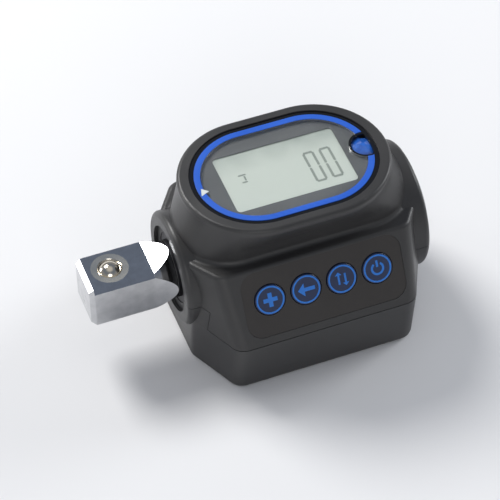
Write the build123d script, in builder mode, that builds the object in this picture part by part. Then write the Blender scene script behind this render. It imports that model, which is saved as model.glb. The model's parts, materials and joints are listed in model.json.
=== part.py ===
import math
import os

from build123d import *

os.makedirs("parts", exist_ok=True)

# Digital torque adapter, in millimetres
# X runs along the drive axis from the male square to the female socket, Z is up
# Origin: middle of the foot, under the middle of the whole length

# Lengths along the drive axis
square_size = 12.7
square_length = 16.5
neck_length = 5.5
housing_length = 63.0
socket_reach = 1.5

# Heights above the foot
axis_height = 22.0
belt_height = 16.0
shoulder_height = 33.2
head_height = 47.0

# Housing outline
belt_width = 54.0
foot_taper = 3.5
face_lean = 30.0
foot_corner_inset = 14.25
belt_corner_inset = 14.5
shoulder_end_drop = 6.0
corner_run = 7.0
shoulder_corner_run = 5.5
corner_radius = 4.0
end_setback = 1.4
wall = 2.0
foot_round = 1.6
shoulder_round = 1.2
front_boss_radius = 14.5
rear_boss_radius = 16.3
boss_round = 1.3
seam_gap = 0.15
cradle_margin = 0.8

# Head
head_shift = -1.2
lip_end_border = 2.95
lip_side_border = 2.4
lip_thickness = 1.8
lip_round = 0.9
lip_overlap = 0.4
waist_drop = 6.4
waist_overhang = 4.0
waist_width = 30.4
flare_overhang = 0.6
flare_width = 34.6
flare_drop = 2.6
root_width = 32.4
root_end_gap = 1.0
root_depth = 5.0
neck_blend = 1.2
ceiling_thickness = 2.0

# Display, from the groove inwards
pocket_length = 47.1
pocket_width = 32.5
pocket_depth = 2.8
groove_width = 1.2
ring_width = 1.6
ring_thickness = 1.2
frame_drop = 0.35
frame_floor = 1.4
lens_thickness = 1.1
fit_gap = 0.05
window_gap = 0.3
indicator_radius = 3.6
indicator_rim = 0.5
indicator_setback = 1.2
light_pipe_radius = 2.1
marker_length = 3.0
marker_shift = -1.3
marker_thickness = 0.65
marker_inset = 0.4
lcd_end_margin = 6.75
lcd_width = 22.2
lcd_thickness = 2.0
backlight_margin = 1.0
backlight_thickness = 1.9
backlight_gap = 0.5
strip_width = 1.6
strip_margin = 2.0
board_overhang = 1.45
board_side_gap = 1.0
board_thickness = 1.0
board_screw_margin = 3.4
board_screw_y = 6.6
board_boss_radius = 2.2
chip_size = 9.0
chip_height = 1.2
chip_shift = 9.0
led_length = 3.0
led_width = 2.4
led_height = 1.2
led_gap = 0.4
buzzer_radius = 5.5
buzzer_height = 3.8
buzzer_mouth_radius = 1.2
buzzer_mouth_depth = 1.0
buzzer_inset = 11.5

# Keypad
keypad_shift = 0.8
panel_length = 41.5
panel_height = 17.0
panel_radius = 4.0
panel_thickness = 0.6
panel_recess = 0.7
panel_middle_height = 25.2
button_row_rise = 0.7
button_diameter = 7.7
button_pitch = 9.3
button_proud = 0.35
button_gap = 0.2
button_flange_radius = 4.35
button_flange_thickness = 0.8
button_travel = 0.5
button_stem_radius = 1.5
button_edge = 0.3
key_board_length = 42.0
key_board_height = 11.0
key_board_depth = 5.4
dome_radius = 2.6
dome_crown_radius = 1.8
dome_height = 0.6
key_screw_reach = 18.9
key_screw_rise = 3.6
key_post_radius = 1.5

# Shaft
square_bevel = 0.9
tip_bevel = 1.1
socket_bevel = 0.6
neck_radius = 7.3
front_journal_radius = 9.0
front_journal_setback = 1.2
torsion_radius = 7.5
torsion_flat = 6.7
socket_body_radius = 11.5
socket_clearance = 0.2
socket_depth = 17.5
socket_lead_in = 0.8
socket_detent_depth = 1.1
thrust_collar_rise = 1.3
thrust_collar_length = 2.0
bush_length = 7.5
bush_wall = 2.0
rear_bush_wall = 1.4
bush_recess = 1.0
running_gap = 0.05
seal_section = 1.6
seal_groove_play = 0.4
torsion_setback = 1.5
torsion_length = 27.0
flat_margin = 3.0
locating_pin_radius = 1.25
locating_pin_length = 6.5
locating_pin_setback = 4.0
pin_edge = 0.3
pin_rib_length = 10.0
rib_gap = 0.4
gauge_length = 8.0
gauge_height = 6.0
gauge_thickness = 0.2
gauge_flex_width = 4.0
key_flex_width = 8.0
key_flex_overlap = 3.0
flex_bend = 0.5
flex_thickness = 0.3

# Detent
ball_setback = 7.0
ball_radius = 3.175
ball_proud = 1.2
ball_travel = 1.1
ball_gap = 0.07
ball_clearance = 0.2
stake_depth = 0.35
stake_width = 0.3
detent_bush_radius = 4.65
detent_bush_depth = 2.0
detent_pocket_depth = 10.0
detent_spring_radius = 2.3
detent_wire_radius = 0.3
detent_coils = 4

# Batteries and their cover
cell_radius = 5.25
cell_length = 44.5
cell_spacing = 27.0
cell_gap = 0.4
cell_end_gap = 0.1
cell_edge = 0.4
nub_radius = 1.9
nub_length = 0.9
tray_wall = 0.8
contact_spring_length = 3.0
contact_thickness = 0.4
contact_width = 8.0
contact_height = 7.4
contact_corner = 1.0
contact_coil_radius = 2.4
contact_coils = 2.5
contact_wire_radius = 0.25
contact_bond = 0.1
cover_thickness = 1.9
cover_recess = 0.3
cover_border = 0.55
cover_gap = 0.3
cover_tongue = 0.9
cover_tongue_height = 0.8
cover_front_margin = 6.6
cover_latch_width = 12.0
cover_latch_length = 1.6
grip_count = 4
grip_length = 16.0
grip_width = 1.1
grip_pitch = 2.2
grip_depth = 0.6
grip_setback = 9.0
floor_thickness = 1.4

# Screws
screw_inset = 9.75
screw_side_inset = 5.3
screw_radius = 1.0
screw_head_radius = 1.75
screw_head_height = 1.4
screw_boss_radius = 2.3
screw_bite = 4.6
screw_boss_rise = 5.0
screw_edge = 0.25
driver_slot_width = 0.5
driver_slot_depth = 0.6
driver_slot_margin = 0.45
head_gap = 0.2
pilot_slack = 0.3
board_hole_gap = 0.1
small_screw_radius = 0.75
small_head_radius = 1.4
small_head_height = 1.0
small_screw_bite = 3.0

# Places that follow from the sizes
overall_length = square_length + neck_length + housing_length + socket_reach
tip_x = -overall_length / 2
neck_x = tip_x + square_length
front_x = neck_x + neck_length
rear_x = front_x + housing_length
socket_face_x = rear_x + socket_reach
housing_x = (front_x + rear_x) / 2
head_x = housing_x + head_shift
keypad_x = housing_x + keypad_shift
lean = math.radians(face_lean)
foot_width = belt_width - foot_taper
foot_end_width = foot_width - 2 * foot_corner_inset
belt_end_width = belt_width - 2 * belt_corner_inset
shoulder_end_width = belt_end_width - shoulder_end_drop
lip_length = pocket_length + 2 * lip_end_border
lip_width = pocket_width + 2 * lip_side_border
lip_bottom = head_height - lip_thickness
waist_height = lip_bottom - waist_drop
pocket_floor = head_height - pocket_depth
ceiling_z = pocket_floor - ceiling_thickness
shaft_axis = Axis((0, 0, axis_height), (1, 0, 0))
shaft_section = Plane(origin=(0, 0, axis_height), x_dir=(1, 0, 0), z_dir=(0, -1, 0))


# Plane across the shaft at a place along it, its middle on the drive axis
def across_shaft(x):
    return Plane(origin=(x, 0, axis_height), x_dir=(0, 1, 0), z_dir=(1, 0, 0))


# Eight-sided plan of the housing with rounded corners, drawn inset from the skin
def plan_outline(height, width, end_width, run, inset):
    half = width / 2
    end_half = end_width / 2
    start = front_x + end_setback
    stop = rear_x - end_setback
    with BuildSketch(Plane.XY.offset(height)) as outline:
        with BuildLine():
            Polyline(
                (start, -end_half),
                (start + run, -half),
                (stop - run, -half),
                (stop, -end_half),
                (stop, end_half),
                (stop - run, half),
                (start + run, half),
                (start, end_half),
                close=True,
            )
        make_face()
        fillet(outline.vertices(), radius=corner_radius)
        if inset > 0:
            offset(amount=-inset, mode=Mode.REPLACE)
    return outline.sketch


# Lower and upper blocks that meet at the belt, drawn inset from the skin
def block_form(inset):
    with BuildPart() as block:
        add(plan_outline(inset, foot_width, foot_end_width, corner_run, inset))
        add(plan_outline(belt_height, belt_width, belt_end_width, corner_run, inset))
        loft(ruled=True)
        add(plan_outline(belt_height, belt_width, belt_end_width, corner_run, inset))
        top = shoulder_height - inset
        top_width = belt_width - 2 * (top - belt_height) * math.tan(lean)
        add(plan_outline(top, top_width, shoulder_end_width, shoulder_corner_run, inset))
        loft(ruled=True)
        if inset == 0:
            fillet(block.edges().group_by(Axis.Z)[0], radius=foot_round)
            fillet(block.edges().group_by(Axis.Z)[-1], radius=shoulder_round)
    return block.part


# Waisted neck that flows from the shoulders up into the lip, drawn inset from the skin
def neck_form(inset):
    waist_x = (housing_x + head_x) / 2
    root_length = housing_length - 2 * root_end_gap
    rows = [
        (shoulder_height - root_depth, housing_x, root_length, root_width),
        (waist_height, waist_x, lip_length + waist_overhang, waist_width),
        (lip_bottom - flare_drop, head_x, lip_length + flare_overhang, flare_width),
        (lip_bottom + lip_overlap, head_x, lip_length - lip_overlap, lip_width - lip_overlap),
    ]
    with BuildPart() as neck:
        for height, middle, length, width in rows:
            with BuildSketch(Plane.XY.offset(height)):
                with Locations((middle, 0)):
                    SlotOverall(length - 2 * inset, width - 2 * inset)
        loft()
    return neck.part


# Boss round the shaft at each end of the housing, with a rounded rim
def boss_form(face_x, length, radius):
    outward = -1 if face_x < housing_x else 1
    with BuildPart() as boss:
        with BuildSketch(across_shaft(face_x)):
            Circle(radius)
        extrude(amount=-outward * length)
        rim = boss.edges().filter_by(GeomType.CIRCLE).sort_by(Axis.X)[0 if outward < 0 else -1]
        fillet(rim, radius=boss_round)
    return boss.part


# Places of the bushes and of what they carry
boss_length = bush_length + bush_recess
front_bush_x = front_x + bush_recess
rear_bush_x = rear_x - bush_recess - bush_length
front_bush_radius = front_journal_radius + bush_wall
rear_bush_radius = socket_body_radius + rear_bush_wall
front_seal_x = front_bush_x + bush_length / 2
rear_seal_x = rear_bush_x + bush_length / 2
torsion_x = front_bush_x + bush_length + thrust_collar_length + torsion_setback
socket_body_x = torsion_x + torsion_length
pin_x = socket_body_x + locating_pin_setback

# Places of the battery bays
bay_length = cell_length + contact_spring_length + 2 * contact_thickness + 3 * cell_end_gap
bay_x = housing_x
bay_floor = cover_recess + cover_thickness + cover_gap
cell_height = bay_floor + cell_radius + cell_gap
channel_radius = cell_radius + cell_gap
cover_width = cell_spacing + 2 * channel_radius + 2 * cover_border

# Places of the corner screws
screw_points = [
    (x, side * (belt_width / 2 - screw_side_inset))
    for x in (front_x + screw_inset, rear_x - screw_inset)
    for side in (-1, 1)
]

# Middle of the keypad on the leaning front face, with its normal outward
panel_y = -(belt_width / 2 - (panel_middle_height - belt_height) * math.tan(lean))
face_normal = (0, -math.cos(lean), math.sin(lean))
keypad_face = Plane(
    origin=(keypad_x, panel_y, panel_middle_height), x_dir=(1, 0, 0), z_dir=face_normal
)
keypad_wall = wall * math.cos(lean)
button_x = [(step - 1.5) * button_pitch for step in range(4)]
button_points = [(x, button_row_rise) for x in button_x]
key_screw_points = [
    (side * key_screw_reach, button_row_rise + side * key_screw_rise) for side in (-1, 1)
]

# Zone of the lower half: all below the belt, and up to the axis beside the shaft ends
cradle_half = max(front_boss_radius, rear_boss_radius) + cradle_margin


def lower_zone(gap):
    with BuildPart() as zone:
        with BuildSketch(Plane.XY.offset(-1)):
            with Locations((housing_x, 0)):
                Rectangle(housing_length + 4, belt_width + 4)
        extrude(amount=belt_height + 1 + gap)
        reach = boss_length + 2 + gap
        with BuildSketch(Plane.XY):
            with Locations((front_x - 2 + reach / 2, 0), (rear_x + 2 - reach / 2, 0)):
                Rectangle(reach, 2 * (cradle_half + gap))
        extrude(amount=axis_height + gap)
    return zone.part


# Cone that turns down the corners of the square towards the neck
corner_reach = (square_size / 2 - square_bevel / 2) * math.sqrt(2) + fit_gap
with BuildPart() as neck_cone:
    with BuildSketch(shaft_section):
        with BuildLine():
            Polyline(
                (tip_x - 1, 0),
                (tip_x - 1, corner_reach),
                (neck_x, corner_reach),
                (front_x, neck_radius),
                (front_x, 0),
                close=True,
            )
        make_face()
    revolve(axis=shaft_axis)

# Round bar inside the housing: journals, thrust collars, torsion length and socket body
journal_x = front_x + front_journal_setback
journal_end = front_bush_x + bush_length + running_gap
collar_end = journal_end + thrust_collar_length
rear_collar_end = rear_bush_x - running_gap
rear_collar_x = rear_collar_end - thrust_collar_length
flat_x = (collar_end + socket_body_x) / 2
mouth = square_size + socket_clearance
recess_reach = mouth / 2 + socket_detent_depth
recess_x = socket_face_x - ball_setback
with BuildPart() as shaft_bar:
    with BuildSketch(shaft_section):
        with BuildLine():
            Polyline(
                (front_x, 0),
                (front_x, neck_radius),
                (journal_x, neck_radius),
                (journal_x, front_journal_radius),
                (journal_end, front_journal_radius),
                (journal_end, front_journal_radius + thrust_collar_rise),
                (collar_end, front_journal_radius + thrust_collar_rise),
                (collar_end, torsion_radius),
                (socket_body_x, torsion_radius),
                (socket_body_x, socket_body_radius),
                (rear_collar_x, socket_body_radius),
                (rear_collar_x, socket_body_radius + thrust_collar_rise),
                (rear_collar_end, socket_body_radius + thrust_collar_rise),
                (rear_collar_end, socket_body_radius),
                (socket_face_x, socket_body_radius),
                (socket_face_x, 0),
                close=True,
            )
        make_face()
    revolve(axis=shaft_axis)
    rims = shaft_bar.edges().filter_by(GeomType.CIRCLE)
    chamfer(rims.sort_by(Axis.X)[-1], length=socket_bevel)
    # Grooves of the two seals
    with BuildSketch(shaft_section):
        with Locations((front_seal_x, front_journal_radius), (rear_seal_x, socket_body_radius)):
            Rectangle(seal_section + seal_groove_play, 2 * (seal_section - running_gap))
    revolve(axis=shaft_axis, mode=Mode.SUBTRACT)
    # Flats for the gauges
    flat_cut = torsion_radius - torsion_flat + 1
    with BuildSketch(Plane.XY.offset(axis_height - torsion_radius)):
        for side in (-1, 1):
            with Locations((flat_x, side * (torsion_flat + flat_cut / 2))):
                Rectangle(gauge_length + 2 * flat_margin, flat_cut)
    extrude(amount=2 * torsion_radius, mode=Mode.SUBTRACT)
    # Female square with its lead-in and the four recesses for a ball
    with BuildSketch(across_shaft(socket_face_x)):
        Rectangle(mouth, mouth)
    extrude(amount=-socket_depth, mode=Mode.SUBTRACT)
    with BuildSketch(across_shaft(socket_face_x)):
        Rectangle(mouth + 2 * socket_lead_in, mouth + 2 * socket_lead_in)
    with BuildSketch(across_shaft(socket_face_x - socket_lead_in)):
        Rectangle(mouth, mouth)
    loft(ruled=True, mode=Mode.SUBTRACT)
    with BuildSketch(Plane.XY.offset(axis_height - recess_reach)):
        with Locations((recess_x, 0)):
            Circle(ball_radius)
    extrude(amount=2 * recess_reach, mode=Mode.SUBTRACT)
    with BuildSketch(Plane.XZ.offset(-recess_reach)):
        with Locations((recess_x, axis_height)):
            Circle(ball_radius)
    extrude(amount=2 * recess_reach, mode=Mode.SUBTRACT)
    # Hole of the locating pin, from below
    with BuildSketch(Plane.XY.offset(axis_height - socket_body_radius - 1)):
        with Locations((pin_x, 0)):
            Circle(locating_pin_radius)
    extrude(amount=locating_pin_length / 2 + 1, mode=Mode.SUBTRACT)

# Torque shaft: male square with its neck, the round bar and the pocket of the detent
flat_z = axis_height + square_size / 2
ball_x = tip_x + ball_setback
ball_z = flat_z + ball_proud - ball_radius
with BuildPart() as torque_shaft:
    with BuildSketch(across_shaft(tip_x)) as square_section:
        Rectangle(square_size, square_size)
        chamfer(square_section.vertices(), length=square_bevel)
    extrude(amount=square_length)
    chamfer(torque_shaft.faces().sort_by(Axis.X)[0].edges(), length=tip_bevel)
    with BuildSketch(across_shaft(neck_x)):
        Rectangle(square_size, square_size)
    with BuildSketch(across_shaft(front_x)):
        Rectangle(2 * neck_radius, 2 * neck_radius)
    loft(ruled=True)
    add(neck_cone.part, mode=Mode.INTERSECT)
    add(shaft_bar.part)
    with BuildSketch(Plane.XY.offset(flat_z)):
        with Locations((ball_x, 0)):
            Circle(detent_bush_radius)
    extrude(amount=-detent_bush_depth, mode=Mode.SUBTRACT)
    with BuildSketch(Plane.XY.offset(flat_z)):
        with Locations((ball_x, 0)):
            Circle(ball_radius + ball_clearance)
    extrude(amount=-detent_pocket_depth, mode=Mode.SUBTRACT)
torque_shaft.part.label = "torque_shaft"
export_step(torque_shaft.part, "parts/torque_shaft.step")

# Ring staked round the ball, its mouth smaller than the ball
stake_z = flat_z - stake_depth
stake_radius = math.sqrt(ball_radius**2 - (stake_z - ball_z) ** 2) + ball_gap
with BuildPart() as detent_bush:
    with BuildSketch(Plane(origin=(ball_x, 0, 0), x_dir=(1, 0, 0), z_dir=(0, -1, 0))):
        with BuildLine():
            Polyline(
                (stake_radius + stake_width, flat_z),
                (detent_bush_radius, flat_z),
                (detent_bush_radius, flat_z - detent_bush_depth),
                (ball_radius + ball_clearance, flat_z - detent_bush_depth),
                (ball_radius + ball_clearance, ball_z + stake_width),
                (stake_radius, stake_z),
                close=True,
            )
        make_face()
    revolve(axis=Axis((ball_x, 0, 0), (0, 0, 1)))
detent_bush.part.label = "detent_bush"
export_step(detent_bush.part, "parts/detent_bush.step")

with BuildPart() as detent_ball:
    with Locations((ball_x, 0, ball_z)):
        Sphere(ball_radius)
detent_ball.part.label = "detent_ball"
export_step(detent_ball.part, "parts/detent_ball.step")


# Coil spring of round wire on a plane, its ends half a wire inside its height
def coil_spring(seat, height, radius, wire_radius, coils):
    run = height - 2 * wire_radius
    foot = seat.offset(wire_radius)
    with BuildPart() as spring:
        with BuildLine() as path:
            Helix(run / coils, run, radius, center=foot.origin, direction=foot.z_dir)
        with BuildSketch(Plane(origin=path.line @ 0, z_dir=path.line % 0)):
            Circle(wire_radius)
        sweep(path=path.line, is_frenet=True)
    return spring


spring_floor = flat_z - detent_pocket_depth
detent_spring = coil_spring(
    Plane.XY.offset(spring_floor).move(Location((ball_x, 0, 0))),
    ball_z - ball_radius - spring_floor - 2 * fit_gap,
    detent_spring_radius,
    detent_wire_radius,
    detent_coils,
)
detent_spring.part.label = "detent_spring"
export_step(detent_spring.part, "parts/detent_spring.step")


# Bush between a journal and its boss
def make_bush(x, inner, outer):
    with BuildPart() as bush:
        with BuildSketch(across_shaft(x)):
            Circle(outer)
            Circle(inner, mode=Mode.SUBTRACT)
        extrude(amount=bush_length)
    return bush


front_bush = make_bush(front_bush_x, front_journal_radius + running_gap, front_bush_radius)
front_bush.part.label = "front_bush"
export_step(front_bush.part, "parts/front_bush.step")
rear_bush = make_bush(rear_bush_x, socket_body_radius + running_gap, rear_bush_radius)
rear_bush.part.label = "rear_bush"
export_step(rear_bush.part, "parts/rear_bush.step")


# Round seal in its groove, just clear of the bush
def make_seal(x, journal_radius):
    with BuildPart() as seal:
        with BuildSketch(shaft_section):
            with Locations((x, journal_radius - seal_section / 2 + running_gap)):
                Circle(seal_section / 2)
        revolve(axis=shaft_axis)
    return seal


front_seal = make_seal(front_seal_x, front_journal_radius)
front_seal.part.label = "front_seal"
export_step(front_seal.part, "parts/front_seal.step")
rear_seal = make_seal(rear_seal_x, socket_body_radius)
rear_seal.part.label = "rear_seal"
export_step(rear_seal.part, "parts/rear_seal.step")

pin_top = axis_height - socket_body_radius + locating_pin_length / 2
with BuildPart() as locating_pin:
    with BuildSketch(Plane.XY.offset(pin_top)):
        with Locations((pin_x, 0)):
            Circle(locating_pin_radius)
    extrude(amount=-locating_pin_length)
    chamfer(locating_pin.edges().filter_by(GeomType.CIRCLE), length=pin_edge)
locating_pin.part.label = "locating_pin"
export_step(locating_pin.part, "parts/locating_pin.step")


# Foil gauge bonded to a flat of the torsion length
def make_gauge(side):
    with BuildPart() as gauge:
        with BuildSketch(Plane.XZ.offset(-side * torsion_flat)):
            with Locations((flat_x, axis_height)):
                Rectangle(gauge_length, gauge_height)
        extrude(amount=-side * gauge_thickness)
    return gauge


strain_gauge_left = make_gauge(-1)
strain_gauge_left.part.label = "strain_gauge_left"
export_step(strain_gauge_left.part, "parts/strain_gauge_left.step")
strain_gauge_right = make_gauge(1)
strain_gauge_right.part.label = "strain_gauge_right"
export_step(strain_gauge_right.part, "parts/strain_gauge_right.step")

# Skin and hollow that both halves of the housing are cut from
with BuildPart() as skin:
    add(block_form(0))
    add(neck_form(0))
    with BuildSketch(Plane.XY.offset(lip_bottom)):
        with Locations((head_x, 0)):
            SlotOverall(lip_length, lip_width)
    extrude(amount=lip_thickness)
    fillet(skin.edges().group_by(Axis.Z)[-1], radius=lip_round)
    add(boss_form(front_x, boss_length, front_boss_radius))
    add(boss_form(rear_x, boss_length, rear_boss_radius))
    # Soft corner where the neck rises from the shoulders, between the bosses
    shelf = skin.faces().filter_by(Plane.XY).filter_by_position(
        Axis.Z, shoulder_height - fit_gap, shoulder_height + fit_gap
    )
    neck = neck_form(0)
    corner = shelf.edges().filter_by(lambda edge: neck.distance_to(edge @ 0.5) < fit_gap)
    fillet(corner, radius=neck_blend)
with BuildPart() as hollow:
    add(block_form(wall))
    add(neck_form(wall))
    split(bisect_by=Plane.XY.offset(ceiling_z), keep=Keep.BOTTOM)


# Solid ends of the housing that hold the bushes, and the bores through them
def cradles():
    with BuildPart() as ends:
        with BuildSketch(across_shaft(front_x)):
            Circle(front_bush_radius + wall)
        extrude(amount=boss_length)
        with BuildSketch(across_shaft(rear_x)):
            Circle(rear_bush_radius + wall)
        extrude(amount=-boss_length)
        add(skin.part, mode=Mode.INTERSECT)
    return ends.part


def bores():
    with BuildPart() as cut:
        with BuildSketch(across_shaft(front_x - 1)):
            Circle(front_bush_radius)
        extrude(amount=1 + bush_recess + bush_length)
        with BuildSketch(across_shaft(rear_x + 1)):
            Circle(rear_bush_radius)
        extrude(amount=-1 - bush_recess - bush_length)
    return cut.part


# Round posts on given points between two heights, kept inside the skin
def posts(points, bottom, top, radius):
    with BuildPart() as group:
        with BuildSketch(Plane.XY.offset(bottom)):
            with Locations(*points):
                Circle(radius)
        extrude(amount=top - bottom)
        add(skin.part, mode=Mode.INTERSECT)
    return group.part


indicator_x = head_x + pocket_length / 2 - groove_width - indicator_setback
tray_length = pocket_length - 2 * groove_width
tray_width = pocket_width - 2 * groove_width
frame_top = head_height - frame_drop
frame_seat = pocket_floor + frame_floor
lcd_top = frame_seat - 2 * fit_gap
lcd_bottom = lcd_top - lcd_thickness
lcd_length = pocket_length - 2 * lcd_end_margin
backlight_bottom = lcd_bottom - fit_gap - backlight_thickness
board_top = backlight_bottom - backlight_gap
board_bottom = board_top - board_thickness
board_length = pocket_length + 2 * board_overhang
board_width = waist_width - 2 * wall - 2 * board_side_gap
board_screw_x = lcd_length / 2 + board_screw_margin
board_screw_bite = ceiling_z - board_top + ceiling_thickness / 2
board_points = [
    (head_x + end * board_screw_x, side * board_screw_y) for end in (-1, 1) for side in (-1, 1)
]
key_seat = -key_board_depth

# Upper half: head, shoulders, keypad face and the upper halves of the bosses
with BuildPart() as upper_housing:
    add(skin.part)
    add(hollow.part, mode=Mode.SUBTRACT)
    add(cradles())
    add(posts(screw_points, belt_height, belt_height + seam_gap + screw_boss_rise, screw_boss_radius))
    with BuildSketch(Plane.XY.offset(board_top)):
        with Locations(*board_points):
            Circle(board_boss_radius)
    extrude(amount=ceiling_z - board_top)
    with BuildSketch(keypad_face.offset(key_seat)):
        with Locations(*key_screw_points):
            Circle(key_post_radius)
    extrude(amount=key_board_depth - keypad_wall)
    add(bores(), mode=Mode.SUBTRACT)
    # Display pocket, window of the display and hole of the light pipe
    with BuildSketch(Plane.XY.offset(pocket_floor)):
        with Locations((head_x, 0)):
            SlotOverall(pocket_length, pocket_width)
    extrude(amount=pocket_depth, mode=Mode.SUBTRACT)
    with BuildSketch(Plane.XY.offset(ceiling_z)):
        with Locations((head_x, 0)):
            Rectangle(lcd_length + 2 * window_gap, lcd_width + 2 * window_gap)
        with Locations((indicator_x, 0)):
            Circle(light_pipe_radius + window_gap)
    extrude(amount=ceiling_thickness, mode=Mode.SUBTRACT)
    # Pilot holes
    with BuildSketch(Plane.XY.offset(board_top)):
        with Locations(*board_points):
            Circle(small_screw_radius)
    extrude(amount=board_screw_bite + pilot_slack, mode=Mode.SUBTRACT)
    with BuildSketch(keypad_face.offset(key_seat)):
        with Locations(*key_screw_points):
            Circle(small_screw_radius)
    extrude(amount=small_screw_bite + pilot_slack, mode=Mode.SUBTRACT)
    with BuildSketch(Plane.XY.offset(belt_height)):
        with Locations(*screw_points):
            Circle(screw_radius)
    extrude(amount=screw_bite + pilot_slack, mode=Mode.SUBTRACT)
    # Recess of the keypad panel and holes of the buttons
    with BuildSketch(keypad_face.offset(1)):
        RectangleRounded(panel_length, panel_height, panel_radius)
    extrude(amount=-panel_recess - 1, mode=Mode.SUBTRACT)
    with BuildSketch(keypad_face.offset(1)):
        with Locations(*button_points):
            Circle(button_diameter / 2 + button_gap)
    extrude(amount=-2 * wall, mode=Mode.SUBTRACT)
    add(lower_zone(seam_gap), mode=Mode.SUBTRACT)
upper_housing.part.label = "upper_housing"
export_step(upper_housing.part, "parts/upper_housing.step")

cover_front = front_x + cover_front_margin
cover_middle = (cover_front + rear_x) / 2
cover_length = rear_x - cover_front
tongue_bottom = cover_recess + cover_thickness - cover_tongue_height
screw_seat = bay_floor + head_gap + screw_head_height
cell_points = [(-cell_spacing / 2, cell_height), (cell_spacing / 2, cell_height)]
rib_top = axis_height - socket_body_radius - rib_gap


# Battery channels: round over the cells and straight down to the cover
def bay_form(radius, length):
    with BuildPart() as bays:
        with BuildSketch(Plane.YZ.offset(bay_x - length / 2)):
            with Locations(*cell_points):
                Circle(radius)
            with Locations(*[(y, cell_height / 2) for y, z in cell_points]):
                Rectangle(2 * radius, cell_height)
        extrude(amount=length)
        add(skin.part, mode=Mode.INTERSECT)
    return bays.part


# Thick floor under the batteries
def floor_form():
    with BuildPart() as slab:
        add(skin.part)
        split(bisect_by=Plane.XY.offset(bay_floor + floor_thickness), keep=Keep.BOTTOM)
    return slab.part


# Lower half: cradles, battery bays, grooves of the cover and screw bosses
with BuildPart() as lower_housing:
    add(skin.part)
    add(hollow.part, mode=Mode.SUBTRACT)
    add(floor_form())
    add(cradles())
    add(bay_form(channel_radius + tray_wall, bay_length + 2 * tray_wall))
    # Rib that holds the locating pin between the bays
    with BuildSketch(Plane.XY.offset(bay_floor)):
        with Locations((pin_x, 0)):
            Rectangle(pin_rib_length, cell_spacing - 2 * channel_radius - 1)
    extrude(amount=rib_top - bay_floor)
    add(posts(screw_points, bay_floor, belt_height, screw_boss_radius))
    add(bay_form(channel_radius, bay_length), mode=Mode.SUBTRACT)
    add(bores(), mode=Mode.SUBTRACT)
    # Room of the cover, its side grooves and its latch slot
    with BuildSketch(Plane.XY.offset(-1)):
        with Locations((cover_middle + 1 - cover_gap / 2, 0)):
            Rectangle(cover_length + 2 + cover_gap, cover_width + 2 * cover_gap)
    extrude(amount=bay_floor + 1, mode=Mode.SUBTRACT)
    with BuildSketch(Plane.XY.offset(tongue_bottom - cover_gap)):
        with Locations((cover_middle + 1 - cover_gap / 2, 0)):
            Rectangle(cover_length + 2 + cover_gap, cover_width + 2 * cover_tongue + 2 * cover_gap)
        with Locations((cover_front - cover_latch_length / 2, 0)):
            Rectangle(cover_latch_length + 2 * cover_gap, cover_latch_width + 2 * cover_gap)
    extrude(amount=cover_tongue_height + 2 * cover_gap, mode=Mode.SUBTRACT)
    # Screw holes and the hole of the locating pin
    with BuildSketch(Plane.XY):
        with Locations(*screw_points):
            Circle(screw_head_radius + head_gap)
    extrude(amount=screw_seat, mode=Mode.SUBTRACT)
    with BuildSketch(Plane.XY):
        with Locations(*screw_points):
            Circle(screw_radius + head_gap)
    extrude(amount=belt_height + 1, mode=Mode.SUBTRACT)
    with BuildSketch(Plane.XY.offset(pin_top - locating_pin_length - pilot_slack)):
        with Locations((pin_x, 0)):
            Circle(locating_pin_radius + fit_gap)
    extrude(amount=rib_top, mode=Mode.SUBTRACT)
    add(lower_zone(0), mode=Mode.INTERSECT)
lower_housing.part.label = "lower_housing"
export_step(lower_housing.part, "parts/lower_housing.step")

driver_slot_length = 2 * (screw_head_radius - driver_slot_margin)
with BuildPart() as housing_screws:
    with BuildSketch(Plane.XY.offset(screw_seat)):
        with Locations(*screw_points):
            Circle(screw_head_radius)
    extrude(amount=-screw_head_height)
    chamfer(housing_screws.edges().group_by(Axis.Z)[0], length=screw_edge)
    with BuildSketch(Plane.XY.offset(screw_seat)):
        with Locations(*screw_points):
            Circle(screw_radius)
    extrude(amount=belt_height + seam_gap + screw_bite - screw_seat)
    with BuildSketch(Plane.XY.offset(screw_seat - screw_head_height)):
        with Locations(*screw_points):
            Rectangle(driver_slot_length, driver_slot_width)
            Rectangle(driver_slot_width, driver_slot_length)
    extrude(amount=driver_slot_depth, mode=Mode.SUBTRACT)
housing_screws.part.label = "housing_screws"
export_step(housing_screws.part, "parts/housing_screws.step")

# Sliding cover whose rear edge finishes the outline of the foot
with BuildPart() as battery_cover:
    with BuildSketch(Plane.XY.offset(cover_recess)):
        with Locations((cover_middle, 0)):
            Rectangle(cover_length, cover_width)
    extrude(amount=cover_thickness)
    with BuildSketch(Plane.XY.offset(tongue_bottom)):
        with Locations((cover_middle - corner_run / 2, 0)):
            Rectangle(cover_length - corner_run, cover_width + 2 * cover_tongue)
        with Locations((cover_front - cover_latch_length / 2, 0)):
            Rectangle(cover_latch_length, cover_latch_width)
    extrude(amount=cover_tongue_height)
    add(skin.part, mode=Mode.INTERSECT)
    with BuildSketch(Plane.XY.offset(cover_recess)):
        with Locations((rear_x - grip_setback, 0)):
            with GridLocations(grip_pitch, 1, grip_count, 1):
                SlotOverall(grip_length, grip_width, rotation=90)
    extrude(amount=grip_depth, mode=Mode.SUBTRACT)
battery_cover.part.label = "battery_cover"
export_step(battery_cover.part, "parts/battery_cover.step")

bay_front = bay_x - bay_length / 2
bay_rear = bay_x + bay_length / 2


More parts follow.
